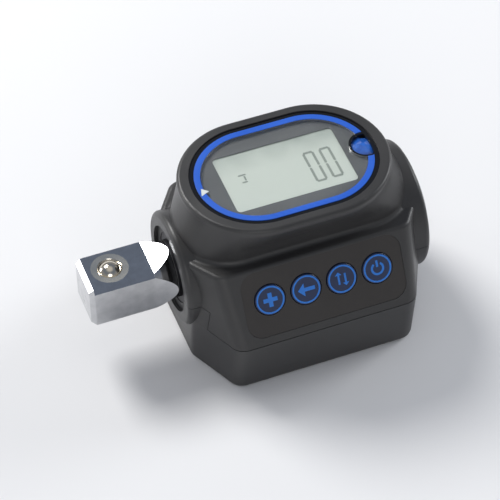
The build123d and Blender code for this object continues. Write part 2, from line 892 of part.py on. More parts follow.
# Round cell that lies along the bay, with its raised end away from the spring
def make_battery(y, spring_end):
    step = 1 if spring_end < bay_x else -1
    foot = spring_end + step * (contact_thickness + contact_spring_length + cell_end_gap)
    shoulder = foot + step * (cell_length - nub_length)
    with BuildPart() as battery:
        with BuildSketch(Plane.YZ.offset(foot)):
            with Locations((y, cell_height)):
                Circle(cell_radius)
        extrude(amount=shoulder - foot)
        chamfer(battery.edges().filter_by(GeomType.CIRCLE), length=cell_edge)
        with BuildSketch(Plane.YZ.offset(shoulder)):
            with Locations((y, cell_height)):
                Circle(nub_radius)
        extrude(amount=step * nub_length)
    return battery


# Flat contact plate against the end of a bay
def contact_plate(y, wall_x, step):
    with BuildPart() as plate:
        with BuildSketch(Plane.YZ.offset(wall_x)):
            with Locations((y, cell_height)):
                RectangleRounded(contact_width, contact_height, contact_corner)
        extrude(amount=step * contact_thickness)
    return plate


# Contact plate with the coil that presses on the flat end of a cell
def spring_contact(y, wall_x, step):
    seat = Plane(
        origin=(wall_x + step * (contact_thickness - contact_bond), y, cell_height),
        x_dir=(0, 1, 0),
        z_dir=(step, 0, 0),
    )
    coil = coil_spring(
        seat, contact_spring_length, contact_coil_radius, contact_wire_radius, contact_coils
    )
    with BuildPart() as contact:
        add(contact_plate(y, wall_x, step).part)
        add(coil.part)
    return contact


battery_left = make_battery(-cell_spacing / 2, bay_front)
battery_left.part.label = "battery_left"
export_step(battery_left.part, "parts/battery_left.step")
battery_right = make_battery(cell_spacing / 2, bay_rear)
battery_right.part.label = "battery_right"
export_step(battery_right.part, "parts/battery_right.step")
battery_spring_left = spring_contact(-cell_spacing / 2, bay_front, 1)
battery_spring_left.part.label = "battery_spring_left"
export_step(battery_spring_left.part, "parts/battery_spring_left.step")
battery_spring_right = spring_contact(cell_spacing / 2, bay_rear, -1)
battery_spring_right.part.label = "battery_spring_right"
export_step(battery_spring_right.part, "parts/battery_spring_right.step")
battery_plate_left = contact_plate(-cell_spacing / 2, bay_rear, -1)
battery_plate_left.part.label = "battery_plate_left"
export_step(battery_plate_left.part, "parts/battery_plate_left.step")
battery_plate_right = contact_plate(cell_spacing / 2, bay_front, 1)
battery_plate_right.part.label = "battery_plate_right"
export_step(battery_plate_right.part, "parts/battery_plate_right.step")

# Black tray that carries the ring, the lens and the indicator window
with BuildPart() as display_frame:
    with BuildSketch(Plane.XY.offset(pocket_floor)):
        with Locations((head_x, 0)):
            SlotOverall(pocket_length - 2 * fit_gap, pocket_width - 2 * fit_gap)
            Rectangle(lcd_length + 2 * fit_gap, lcd_width + 2 * fit_gap, mode=Mode.SUBTRACT)
        with Locations((indicator_x, 0)):
            Circle(light_pipe_radius + fit_gap, mode=Mode.SUBTRACT)
    extrude(amount=frame_floor)
    with BuildSketch(Plane.XY.offset(frame_seat)):
        with Locations((head_x, 0)):
            SlotOverall(pocket_length - 2 * fit_gap, pocket_width - 2 * fit_gap)
            SlotOverall(tray_length, tray_width, mode=Mode.SUBTRACT)
    extrude(amount=frame_top - frame_seat)
    # Rim round the indicator window
    with BuildSketch(Plane.XY.offset(frame_seat)):
        with Locations((head_x, 0)):
            SlotOverall(tray_length + 2 * fit_gap, tray_width + 2 * fit_gap)
        with Locations((indicator_x, 0)):
            Circle(indicator_radius + indicator_rim, mode=Mode.INTERSECT)
            Circle(indicator_radius, mode=Mode.SUBTRACT)
    extrude(amount=frame_top - frame_seat)
display_frame.part.label = "display_frame"
export_step(display_frame.part, "parts/display_frame.step")

ring_top = frame_seat + ring_thickness
marker_x = head_x - tray_length / 2 + ring_width / 2 + marker_inset
marker_seat = ring_top - marker_thickness + fit_gap


# Triangle of the marker, grown by a gap where it is cut out of its neighbours
def marker_outline(gap):
    half = marker_length / 2
    with BuildSketch(Plane.XY.offset(marker_seat)) as outline:
        with BuildLine():
            Polyline(
                (marker_x - half * 0.55, marker_shift - half * 0.55),
                (marker_x + half * 0.9, marker_shift + half * 0.1),
                (marker_x - half * 0.1, marker_shift + half),
                close=True,
            )
        make_face()
        if gap > 0:
            offset(amount=gap, mode=Mode.REPLACE)
    return outline.sketch


with BuildPart() as marker_insert:
    add(marker_outline(0))
    extrude(amount=marker_thickness)
marker_insert.part.label = "marker_insert"
export_step(marker_insert.part, "parts/marker_insert.step")

with BuildPart() as accent_ring:
    with BuildSketch(Plane.XY.offset(frame_seat)):
        with Locations((head_x, 0)):
            SlotOverall(tray_length - 2 * fit_gap, tray_width - 2 * fit_gap)
            SlotOverall(tray_length - 2 * ring_width, tray_width - 2 * ring_width, mode=Mode.SUBTRACT)
        with Locations((indicator_x, 0)):
            Circle(indicator_radius + indicator_rim + fit_gap, mode=Mode.SUBTRACT)
    extrude(amount=ring_thickness)
    add(marker_outline(fit_gap))
    extrude(amount=2 * marker_thickness, mode=Mode.SUBTRACT)
accent_ring.part.label = "accent_ring"
export_step(accent_ring.part, "parts/accent_ring.step")

with BuildPart() as display_lens:
    with BuildSketch(Plane.XY.offset(frame_seat)):
        with Locations((head_x, 0)):
            SlotOverall(
                tray_length - 2 * ring_width - 2 * fit_gap, tray_width - 2 * ring_width - 2 * fit_gap
            )
        with Locations((indicator_x, 0)):
            Circle(indicator_radius + indicator_rim + fit_gap, mode=Mode.SUBTRACT)
    extrude(amount=lens_thickness)
    add(marker_outline(fit_gap))
    extrude(amount=2 * marker_thickness, mode=Mode.SUBTRACT)
display_lens.part.label = "display_lens"
export_step(display_lens.part, "parts/display_lens.step")

pipe_foot = board_top + led_height + led_gap
with BuildPart() as indicator_lens:
    with BuildSketch(Plane.XY.offset(frame_seat)):
        with Locations((head_x, 0)):
            SlotOverall(tray_length - 2 * fit_gap, tray_width - 2 * fit_gap)
        with Locations((indicator_x, 0)):
            Circle(indicator_radius - fit_gap, mode=Mode.INTERSECT)
    extrude(amount=ring_thickness)
    with BuildSketch(Plane.XY.offset(pipe_foot)):
        with Locations((indicator_x, 0)):
            Circle(light_pipe_radius)
    extrude(amount=frame_seat - pipe_foot)
indicator_lens.part.label = "indicator_lens"
export_step(indicator_lens.part, "parts/indicator_lens.step")

with BuildPart() as lcd_panel:
    with BuildSketch(Plane.XY.offset(lcd_bottom)):
        with Locations((head_x, 0)):
            Rectangle(lcd_length, lcd_width)
    extrude(amount=lcd_thickness)
lcd_panel.part.label = "lcd_panel"
export_step(lcd_panel.part, "parts/lcd_panel.step")

strip_y = (lcd_width - strip_width) / 2 - window_gap
with BuildPart() as backlight:
    with BuildSketch(Plane.XY.offset(lcd_bottom - fit_gap)):
        with Locations((head_x, 0)):
            Rectangle(
                lcd_length - 2 * backlight_margin, 2 * strip_y - strip_width - 2 * window_gap
            )
    extrude(amount=-backlight_thickness)
backlight.part.label = "backlight"
export_step(backlight.part, "parts/backlight.step")


# Rubber strip that joins the display to the board
def contact_strip(y):
    with BuildPart() as strip:
        with BuildSketch(Plane.XY.offset(board_top)):
            with Locations((head_x, y)):
                Rectangle(lcd_length - 2 * strip_margin, strip_width)
        extrude(amount=lcd_bottom - board_top)
    return strip


contact_strip_front = contact_strip(-strip_y)
contact_strip_front.part.label = "contact_strip_front"
export_step(contact_strip_front.part, "parts/contact_strip_front.step")
contact_strip_rear = contact_strip(strip_y)
contact_strip_rear.part.label = "contact_strip_rear"
export_step(contact_strip_rear.part, "parts/contact_strip_rear.step")

with BuildPart() as main_board:
    with BuildSketch(Plane.XY.offset(board_bottom)):
        with Locations((head_x, 0)):
            SlotOverall(board_length, board_width)
        with Locations(*board_points):
            Circle(small_screw_radius + board_hole_gap, mode=Mode.SUBTRACT)
    extrude(amount=board_thickness)
main_board.part.label = "main_board"
export_step(main_board.part, "parts/main_board.step")

with BuildPart() as board_screws:
    with BuildSketch(Plane.XY.offset(board_bottom)):
        with Locations(*board_points):
            Circle(small_head_radius)
    extrude(amount=-small_head_height)
    with BuildSketch(Plane.XY.offset(board_bottom)):
        with Locations(*board_points):
            Circle(small_screw_radius)
    extrude(amount=board_thickness + board_screw_bite)
board_screws.part.label = "board_screws"
export_step(board_screws.part, "parts/board_screws.step")

with BuildPart() as controller_chip:
    with BuildSketch(Plane.XY.offset(board_bottom)):
        with Locations((head_x + chip_shift, 0)):
            Rectangle(chip_size, chip_size)
    extrude(amount=-chip_height)
controller_chip.part.label = "controller_chip"
export_step(controller_chip.part, "parts/controller_chip.step")

with BuildPart() as buzzer:
    with BuildSketch(Plane.XY.offset(board_bottom)):
        with Locations((head_x - board_length / 2 + buzzer_inset, 0)):
            Circle(buzzer_radius)
    extrude(amount=-buzzer_height)
    with BuildSketch(Plane.XY.offset(board_bottom - buzzer_height)):
        with Locations((head_x - board_length / 2 + buzzer_inset, 0)):
            Circle(buzzer_mouth_radius)
    extrude(amount=buzzer_mouth_depth, mode=Mode.SUBTRACT)
buzzer.part.label = "buzzer"
export_step(buzzer.part, "parts/buzzer.step")

with BuildPart() as indicator_led:
    with BuildSketch(Plane.XY.offset(board_top)):
        with Locations((indicator_x, 0)):
            Rectangle(led_length, led_width)
    extrude(amount=led_height)
indicator_led.part.label = "indicator_led"
export_step(indicator_led.part, "parts/indicator_led.step")

# Flexible yoke from the two gauges to the main board
yoke_y = torsion_flat + gauge_thickness + fit_gap + flex_thickness / 2
yoke_top = axis_height + torsion_radius + flex_thickness * 1.5
with BuildPart() as gauge_flex:
    with BuildSketch(Plane.YZ.offset(flat_x - gauge_flex_width / 2)):
        with BuildLine():
            Polyline(
                (-yoke_y, axis_height),
                (-yoke_y, yoke_top),
                (yoke_y, yoke_top),
                (yoke_y, axis_height),
            )
        trace(line_width=flex_thickness)
        with BuildLine():
            Line((0, yoke_top), (0, board_bottom - fit_gap))
        trace(line_width=flex_thickness)
    extrude(amount=gauge_flex_width)
gauge_flex.part.label = "gauge_flex"
export_step(gauge_flex.part, "parts/gauge_flex.step")

# Dark panel with a hole for each button
with BuildPart() as keypad_panel:
    with BuildSketch(keypad_face.offset(-panel_recess)):
        RectangleRounded(panel_length - 2 * fit_gap, panel_height - 2 * fit_gap, panel_radius - fit_gap)
        with Locations(*button_points):
            Circle(button_diameter / 2 + button_gap, mode=Mode.SUBTRACT)
    extrude(amount=panel_thickness)
keypad_panel.part.label = "keypad_panel"
export_step(keypad_panel.part, "parts/keypad_panel.step")

cap_top = panel_thickness - panel_recess + button_proud
flange_top = -keypad_wall - 2 * fit_gap
flange_bottom = flange_top - button_flange_thickness
stem_end = key_seat + dome_height + button_travel + 2 * fit_gap


# Round button with a flange behind the wall and a stem over its switch
def make_button(x):
    with BuildPart() as button:
        with BuildSketch(keypad_face.offset(cap_top)):
            with Locations((x, button_row_rise)):
                Circle(button_diameter / 2)
        extrude(amount=flange_top - cap_top)
        crown = button.faces().sort_by(Axis(keypad_face.origin, keypad_face.z_dir))[-1]
        fillet(crown.edges(), radius=button_edge)
        with BuildSketch(keypad_face.offset(flange_top)):
            with Locations((x, button_row_rise)):
                Circle(button_flange_radius)
        extrude(amount=-button_flange_thickness)
        with BuildSketch(keypad_face.offset(flange_bottom)):
            with Locations((x, button_row_rise)):
                Circle(button_stem_radius)
        extrude(amount=stem_end - flange_bottom)
    return button


# Snap dome on the key board under a button
def make_dome(x):
    with BuildPart() as dome:
        with BuildSketch(keypad_face.offset(key_seat)):
            with Locations((x, button_row_rise)):
                Circle(dome_radius)
        extrude(amount=dome_height / 2)
        with BuildSketch(keypad_face.offset(key_seat)):
            with Locations((x, button_row_rise)):
                Circle(dome_crown_radius)
        extrude(amount=dome_height)
    return dome


for button_name, x in zip(("plus", "back", "units", "power"), button_x):
    button = make_button(x)
    button.part.label = f"button_{button_name}"
    export_step(button.part, f"parts/button_{button_name}.step")
    dome = make_dome(x)
    dome.part.label = f"dome_switch_{button_name}"
    export_step(dome.part, f"parts/dome_switch_{button_name}.step")

with BuildPart() as key_board:
    with BuildSketch(keypad_face.offset(key_seat)):
        with Locations((0, button_row_rise)):
            Rectangle(key_board_length, key_board_height)
        with Locations(*key_screw_points):
            Circle(small_screw_radius + board_hole_gap, mode=Mode.SUBTRACT)
    extrude(amount=-board_thickness)
key_board.part.label = "key_board"
export_step(key_board.part, "parts/key_board.step")

with BuildPart() as key_board_screws:
    with BuildSketch(keypad_face.offset(key_seat - board_thickness)):
        with Locations(*key_screw_points):
            Circle(small_head_radius)
    extrude(amount=-small_head_height)
    with BuildSketch(keypad_face.offset(key_seat - board_thickness)):
        with Locations(*key_screw_points):
            Circle(small_screw_radius)
    extrude(amount=board_thickness + small_screw_bite)
key_board_screws.part.label = "key_board_screws"
export_step(key_board_screws.part, "parts/key_board_screws.step")

# Flexible strip from the back of the key board to the underside of the main board
flex_depth = key_seat - board_thickness - fit_gap - flex_thickness / 2
board_edge = button_row_rise + key_board_height / 2
flex_start = keypad_face.from_local_coords((0, board_edge - key_flex_overlap, flex_depth))
flex_turn = keypad_face.from_local_coords((0, board_edge + flex_bend, flex_depth))
flex_rise_y = -board_width / 2 + flex_bend
flex_top = board_bottom - fit_gap - flex_thickness / 2
with BuildPart() as key_flex:
    with BuildSketch(Plane.YZ.offset(keypad_x - key_flex_width)):
        with BuildLine():
            Polyline(
                (flex_start.Y, flex_start.Z),
                (flex_turn.Y, flex_turn.Z),
                (flex_rise_y, flex_turn.Z + key_flex_overlap),
                (flex_rise_y, flex_top),
                (flex_rise_y + key_flex_overlap, flex_top),
            )
        trace(line_width=flex_thickness)
    extrude(amount=key_flex_width)
key_flex.part.label = "key_flex"
export_step(key_flex.part, "parts/key_flex.step")
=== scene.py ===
import json
import math

import bpy
from mathutils import Matrix, Vector


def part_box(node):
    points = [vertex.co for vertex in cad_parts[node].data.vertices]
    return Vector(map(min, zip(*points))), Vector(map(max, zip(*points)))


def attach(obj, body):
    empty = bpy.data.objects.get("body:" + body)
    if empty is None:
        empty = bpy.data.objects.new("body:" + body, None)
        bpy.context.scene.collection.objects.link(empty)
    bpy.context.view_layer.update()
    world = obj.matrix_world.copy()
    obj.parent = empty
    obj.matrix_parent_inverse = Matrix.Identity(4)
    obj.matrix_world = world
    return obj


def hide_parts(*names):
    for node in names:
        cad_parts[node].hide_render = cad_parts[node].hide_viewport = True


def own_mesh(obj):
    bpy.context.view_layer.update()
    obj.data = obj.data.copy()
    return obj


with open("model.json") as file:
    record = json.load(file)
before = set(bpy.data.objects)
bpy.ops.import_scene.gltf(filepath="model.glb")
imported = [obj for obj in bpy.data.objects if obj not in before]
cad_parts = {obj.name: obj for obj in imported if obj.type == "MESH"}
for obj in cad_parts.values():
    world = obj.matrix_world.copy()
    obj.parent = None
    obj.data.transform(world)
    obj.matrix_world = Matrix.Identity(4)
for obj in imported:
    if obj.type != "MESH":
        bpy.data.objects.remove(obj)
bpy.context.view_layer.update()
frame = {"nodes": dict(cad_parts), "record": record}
nodes = frame["nodes"]
mm = 0.001
print("frame loaded:", len(nodes), "nodes")


def deselectAll():
    if bpy.context.object and bpy.context.object.mode != "OBJECT":
        bpy.ops.object.mode_set(mode="OBJECT")
    bpy.ops.object.select_all(action="DESELECT")


def selectOnly(piece):
    deselectAll()
    piece.select_set(True)
    bpy.context.view_layer.objects.active = piece


# camera, at the photo's viewing angle but closer in on the object
camera = {
    "place": (-139.0, -368.8, 462.1),  # mm, in the part's own frame
    "aim": (-0.5, -1.5, 22.0),
    "roll": -0.4,  # degrees
    "lens": 172.0,
    "sensor": 36.0,
    "clip": 10.0,
}


def addCamera(sizes):
    place = Vector(sizes["place"]) * mm
    aim = Vector(sizes["aim"]) * mm
    deselectAll()
    bpy.ops.object.camera_add(location=place)
    cam = bpy.context.object
    cam.name = "photoCamera"
    turn = (aim - place).to_track_quat("-Z", "Y").to_matrix()
    turn = turn @ Matrix.Rotation(math.radians(sizes["roll"]), 3, "Z")
    cam.rotation_euler = turn.to_euler()
    cam.data.sensor_width = sizes["sensor"]
    cam.data.lens = sizes["lens"]
    cam.data.clip_start = sizes["clip"] * mm
    cam.data.dof.use_dof = False
    bpy.context.scene.camera = cam
    return cam


addCamera(camera)
print("camera set")

# floor and studio light
studio = {
    "floorSize": 3.0,
    "floorColor": (0.78, 0.78, 0.79),
    "floorRough": 0.85,
    "lampAim": (0.0, 0.0, 0.02),
    "world": (  # height on the dome and the colour there
        (0.00, (0.84, 0.85, 0.87)),
        (0.10, (0.84, 0.85, 0.87)),
        (0.22, (0.23, 0.24, 0.26)),
        (0.42, (0.276, 0.288, 0.312)),
        (0.66, (0.168, 0.198, 0.258)),
        (0.84, (0.192, 0.222, 0.276)),
        (0.97, (0.6, 0.6, 0.6)),
    ),
    "worldStrength": 1.0,
    "lamps": {  # place in metres, size in metres, watts, tint
        "keyLamp": ((-0.26, 0.57, 0.73), 0.38, 7.2, (1.0, 0.99, 0.97)),
        "sideLamp": ((0.80, 0.12, 0.42), 0.35, 3.0, (0.96, 0.98, 1.0)),
        "frontLamp": ((-0.25, -0.85, 0.50), 0.6, 2.0, (1.0, 0.98, 0.96)),
        "tipLamp": ((-0.75, 0.60, 0.23), 0.34, 1.6, (1.0, 1.0, 1.0)),
    },
}


def addWorld(sizes):
    world = bpy.data.worlds.new("studioWorld")
    bpy.context.scene.world = world
    world.use_nodes = True
    tree = world.node_tree
    tree.nodes.clear()
    out = tree.nodes.new("ShaderNodeOutputWorld")
    back = tree.nodes.new("ShaderNodeBackground")
    coord = tree.nodes.new("ShaderNodeTexCoord")
    split = tree.nodes.new("ShaderNodeSeparateXYZ")
    ramp = tree.nodes.new("ShaderNodeValToRGB")
    stops = ramp.color_ramp.elements
    for step, (height, color) in enumerate(sizes["world"]):
        stop = stops[step] if step < 2 else stops.new(height)
        stop.position = height
        stop.color = (*color, 1)
    tree.links.new(coord.outputs["Generated"], split.inputs[0])
    tree.links.new(split.outputs["Z"], ramp.inputs["Fac"])
    tree.links.new(ramp.outputs["Color"], back.inputs["Color"])
    back.inputs["Strength"].default_value = sizes["worldStrength"]
    tree.links.new(back.outputs[0], out.inputs["Surface"])


def addLamp(name, place, size, power, tint, target):
    deselectAll()
    bpy.ops.object.light_add(type="AREA", location=place)
    lamp = bpy.context.object
    lamp.name = name
    lamp.data.shape = "DISK"
    lamp.data.size = size
    lamp.data.energy = power
    lamp.data.color = tint
    aim = Vector(target) - Vector(place)
    lamp.rotation_euler = aim.to_track_quat("-Z", "Y").to_euler()
    return lamp


def addFloor(sizes):
    deselectAll()
    bpy.ops.mesh.primitive_plane_add(size=sizes["floorSize"], location=(0, 0, 0))
    floor = bpy.context.object
    floor.name = "paperFloor"
    paper = bpy.data.materials.new("paperFloor")
    paper.use_nodes = True
    shader = paper.node_tree.nodes["Principled BSDF"]
    shader.inputs["Base Color"].default_value = (*sizes["floorColor"], 1)
    shader.inputs["Roughness"].default_value = sizes["floorRough"]
    floor.data.materials.append(paper)


addWorld(studio)
for name, (place, size, power, tint) in studio["lamps"].items():
    addLamp(name, place, size, power, tint, studio["lampAim"])
addFloor(studio)
bpy.context.scene.view_settings.view_transform = "Standard"
print("floor and light set")

# shared surface effects: fine moulded grain, soft cloudy patches and thin scratches
surface = {
    "scales": (("Grain Scale", 2500.0), ("Cloud Scale", 60.0), ("Scratch Scale", 300.0)),
    "grain": (3.0, 0.6),  # detail and roughness of the noise
    "cloud": (4.0, 0.5),
    "scratch": (6.0, 0.7),
    "stretch": (0.06, 1.0, 1.0),  # draws the scratches out along the part
    "slant": 0.35,
    "scratchRange": (0.60, 0.72),
    "cloudRange": (0.3, 0.7),
    "grainStrength": 0.6,
}


def makeSurfaceGroup(values):
    group = bpy.data.node_groups.new("surfaceDetail", "ShaderNodeTree")
    face = group.interface
    for name, start in values["scales"]:
        socket = face.new_socket(name=name, in_out="INPUT", socket_type="NodeSocketFloat")
        socket.default_value = start
    for name in ("Grain", "Cloud", "Scratch"):
        face.new_socket(name=name, in_out="OUTPUT", socket_type="NodeSocketFloat")
    add = group.nodes.new
    link = group.links.new
    start = add("NodeGroupInput")
    end = add("NodeGroupOutput")
    coord = add("ShaderNodeTexCoord")
    grain, cloud, scratch = (add("ShaderNodeTexNoise") for _ in range(3))
    for noise, name in ((grain, "grain"), (cloud, "cloud"), (scratch, "scratch")):
        noise.inputs["Detail"].default_value = values[name][0]
        noise.inputs["Roughness"].default_value = values[name][1]
    stretch = add("ShaderNodeMapping")
    stretch.inputs["Scale"].default_value = values["stretch"]
    stretch.inputs["Rotation"].default_value = (0.0, 0.0, values["slant"])
    narrow = add("ShaderNodeMapRange")
    narrow.inputs["From Min"].default_value = values["scratchRange"][0]
    narrow.inputs["From Max"].default_value = values["scratchRange"][1]
    link(coord.outputs["Object"], grain.inputs["Vector"])
    link(coord.outputs["Object"], cloud.inputs["Vector"])
    link(coord.outputs["Object"], stretch.inputs["Vector"])
    link(stretch.outputs["Vector"], scratch.inputs["Vector"])
    link(start.outputs["Grain Scale"], grain.inputs["Scale"])
    link(start.outputs["Cloud Scale"], cloud.inputs["Scale"])
    link(start.outputs["Scratch Scale"], scratch.inputs["Scale"])
    link(scratch.outputs["Fac"], narrow.inputs["Value"])
    link(grain.outputs["Fac"], end.inputs["Grain"])
    link(cloud.outputs["Fac"], end.inputs["Cloud"])
    link(narrow.outputs["Result"], end.inputs["Scratch"])
    return group


surfaceDetail = makeSurfaceGroup(surface)

# the stretch of the shaft inside the housing, left unplated, in mm along it; its near-black colour
# is painted shade for the bore around it
boreShadeSteel = {"from": -21.2, "to": 38.0, "shadeFade": 0.15, "color": (0.045, 0.045, 0.05), "rough": 0.5}

# finishes, most of them named after their slot: two colours that the cloud mixes, gloss range
# from bright to dull, depth of the grain in mm, its scale, and how much duller the scratches are
finishes = {
    "drive_chrome": {"color": (0.72, 0.725, 0.735), "other": (0.42, 0.425, 0.445), "metal": 1.0,
                     "cloud": 420.0, "rough": (0.05, 0.12), "bump": 0.004, "grain": 900.0,
                     "scratch": 0.25, "scuff": 0.03, "boreShade": boreShadeSteel},
    "ball_steel": {"color": (0.78, 0.72, 0.62), "other": (0.70, 0.62, 0.50), "metal": 1.0,
                   "rough": (0.08, 0.18), "bump": 0.002, "grain": 1200.0, "scratch": 0.1},
    "bush_steel": {"color": (0.80, 0.77, 0.70), "other": (0.62, 0.58, 0.50), "metal": 1.0,
                   "rough": (0.14, 0.3), "bump": 0.01, "grain": 2500.0, "scratch": 0.2},
    "spring_steel": {"color": (0.60, 0.60, 0.62), "other": (0.48, 0.48, 0.50), "metal": 1.0,
                     "rough": (0.25, 0.4), "bump": 0.01, "grain": 4000.0, "scratch": 0.1},
    "bush_black": {"color": (0.016, 0.016, 0.017), "other": (0.024, 0.024, 0.025), "metal": 0.0,
                   "rough": (0.45, 0.6), "bump": 0.02, "grain": 3000.0, "scratch": 0.1},
    "seal_rubber": {"color": (0.014, 0.014, 0.014), "other": (0.02, 0.02, 0.02), "metal": 0.0,
                    "rough": (0.55, 0.7), "bump": 0.03, "grain": 3000.0, "scratch": 0.0},
    "housing_charcoal": {"color": (0.026, 0.0255, 0.026), "other": (0.033, 0.0325, 0.033),
                         "metal": 0.0, "rough": (0.36, 0.46), "bump": 0.05, "grain": 3200.0,
                         "scratch": 0.12},
    "screw_steel": {"color": (0.50, 0.50, 0.52), "other": (0.38, 0.38, 0.40), "metal": 1.0,
                    "rough": (0.25, 0.4), "bump": 0.02, "grain": 3500.0, "scratch": 0.3},
    "cell_jacket": {"color": (0.04, 0.10, 0.30), "other": (0.03, 0.08, 0.26), "metal": 0.0,
                    "rough": (0.3, 0.4), "bump": 0.01, "grain": 2000.0, "scratch": 0.1},
    "contact_nickel": {"color": (0.72, 0.69, 0.62), "other": (0.62, 0.58, 0.50), "metal": 1.0,
                       "rough": (0.2, 0.35), "bump": 0.01, "grain": 3000.0, "scratch": 0.3},
    "frame_black": {"color": (0.005, 0.005, 0.006), "other": (0.008, 0.008, 0.009), "metal": 0.0,
                    "rough": (0.10, 0.18), "bump": 0.004, "grain": 2500.0, "scratch": 0.1},
    "accent_blue": {"color": (0.013, 0.088, 0.50), "other": (0.022, 0.13, 0.62), "metal": 0.0,
                    "rough": (0.30, 0.38), "bump": 0.01, "grain": 1800.0, "scratch": 0.1,
                    "coat": 0.3},
    # painted light and shade: two blues mixed in large patches stand in for lit and shaded facets
    "indicator_blue": {"color": (0.006, 0.03, 0.20), "other": (0.035, 0.19, 0.75), "metal": 0.0,
                       "cloud": 620.0, "rough": (0.04, 0.10), "bump": 0.003, "grain": 900.0,
                       "scratch": 0.0, "coat": 0.8},
    "marker_white": {"color": (0.70, 0.73, 0.72), "other": (0.62, 0.65, 0.64), "metal": 0.0,
                     "rough": (0.2, 0.3), "bump": 0.01, "grain": 2500.0, "scratch": 0.1},
    "light_guide": {"color": (0.80, 0.82, 0.82), "other": (0.74, 0.76, 0.77), "metal": 0.0,
                    "rough": (0.35, 0.5), "bump": 0.02, "grain": 2500.0, "scratch": 0.0},
    "strip_rubber": {"color": (0.30, 0.08, 0.10), "other": (0.24, 0.06, 0.08), "metal": 0.0,
                     "rough": (0.5, 0.65), "bump": 0.03, "grain": 3000.0, "scratch": 0.0},
    "board_green": {"color": (0.008, 0.11, 0.045), "other": (0.006, 0.085, 0.035), "metal": 0.0,
                    "rough": (0.28, 0.42), "bump": 0.02, "grain": 3500.0, "scratch": 0.1},
    "chip_black": {"color": (0.018, 0.018, 0.019), "other": (0.028, 0.028, 0.03), "metal": 0.0,
                   "rough": (0.45, 0.6), "bump": 0.03, "grain": 5000.0, "scratch": 0.0},
    "flex_amber": {"color": (0.46, 0.20, 0.035), "other": (0.38, 0.15, 0.025), "metal": 0.0,
                   "rough": (0.28, 0.4), "bump": 0.01, "grain": 2500.0, "scratch": 0.1},
    "foil_copper": {"color": (0.72, 0.40, 0.21), "other": (0.62, 0.32, 0.16), "metal": 1.0,
                    "rough": (0.22, 0.35), "bump": 0.01, "grain": 2500.0, "scratch": 0.2},
    "keypad_black": {"color": (0.020, 0.017, 0.016), "other": (0.027, 0.023, 0.021), "metal": 0.0,
                     "rough": (0.30, 0.40), "bump": 0.03, "grain": 4200.0, "scratch": 0.1},
    "button_black": {"color": (0.010, 0.020, 0.062), "other": (0.012, 0.027, 0.085), "metal": 0.0,
                     "rough": (0.30, 0.40), "bump": 0.03, "grain": 4200.0, "scratch": 0.1},
    "cover_charcoal": {"color": (0.026, 0.0255, 0.026), "other": (0.033, 0.0325, 0.033),
                       "metal": 0.0, "rough": (0.42, 0.54), "bump": 0.07, "grain": 2800.0,
                       "scratch": 0.15},
    "print_blue": {"color": (0.012, 0.15, 0.58), "other": (0.018, 0.20, 0.68), "metal": 0.0,
                   "rough": (0.35, 0.45), "bump": 0.02, "grain": 4200.0, "scratch": 0.1},
    "mask_grey": {"color": (0.075, 0.078, 0.080), "other": (0.095, 0.098, 0.10), "metal": 0.0,
                  "rough": (0.35, 0.45), "bump": 0.01, "grain": 3000.0, "scratch": 0.0},
    "digit_grey": {"color": (0.20, 0.225, 0.20), "other": (0.23, 0.26, 0.235), "metal": 0.0,
                   "rough": (0.5, 0.6), "bump": 0.0, "grain": 3000.0, "scratch": 0.0},
}
materials = {}


def addBoreShade(tree, shader, spec):  # unplated steel inside the housing, painted near-black as the shade of the bore, and dulled
    coord = tree.nodes.new("ShaderNodeTexCoord")
    split = tree.nodes.new("ShaderNodeSeparateXYZ")
    inward = tree.nodes.new("ShaderNodeMapRange")
    inward.inputs["From Min"].default_value = (spec["from"] - spec["shadeFade"]) * mm
    inward.inputs["From Max"].default_value = (spec["from"] + spec["shadeFade"]) * mm
    outward = tree.nodes.new("ShaderNodeMapRange")
    outward.inputs["From Min"].default_value = (spec["to"] - spec["shadeFade"]) * mm
    outward.inputs["From Max"].default_value = (spec["to"] + spec["shadeFade"]) * mm
    inside = tree.nodes.new("ShaderNodeMath")
    inside.operation = "SUBTRACT"
    shade = tree.nodes.new("ShaderNodeMix")
    shade.data_type = "RGBA"
    shade.inputs["B"].default_value = (*spec["color"], 1)
    plated = shader.inputs["Base Color"].links[0].from_socket
    tree.links.new(coord.outputs["Object"], split.inputs[0])
    tree.links.new(split.outputs["X"], inward.inputs["Value"])
    tree.links.new(split.outputs["X"], outward.inputs["Value"])
    tree.links.new(inward.outputs["Result"], inside.inputs[0])
    tree.links.new(outward.outputs["Result"], inside.inputs[1])
    tree.links.new(inside.outputs["Value"], shade.inputs["Factor"])
    tree.links.new(plated, shade.inputs["A"])
    tree.links.new(shade.outputs["Result"], shader.inputs["Base Color"])
    dull = tree.nodes.new("ShaderNodeMix")
    dull.inputs["B"].default_value = spec["rough"]
    polished = shader.inputs["Roughness"].links[0].from_socket
    tree.links.new(inside.outputs["Value"], dull.inputs["Factor"])
    tree.links.new(polished, dull.inputs["A"])
    tree.links.new(dull.outputs["Result"], shader.inputs["Roughness"])


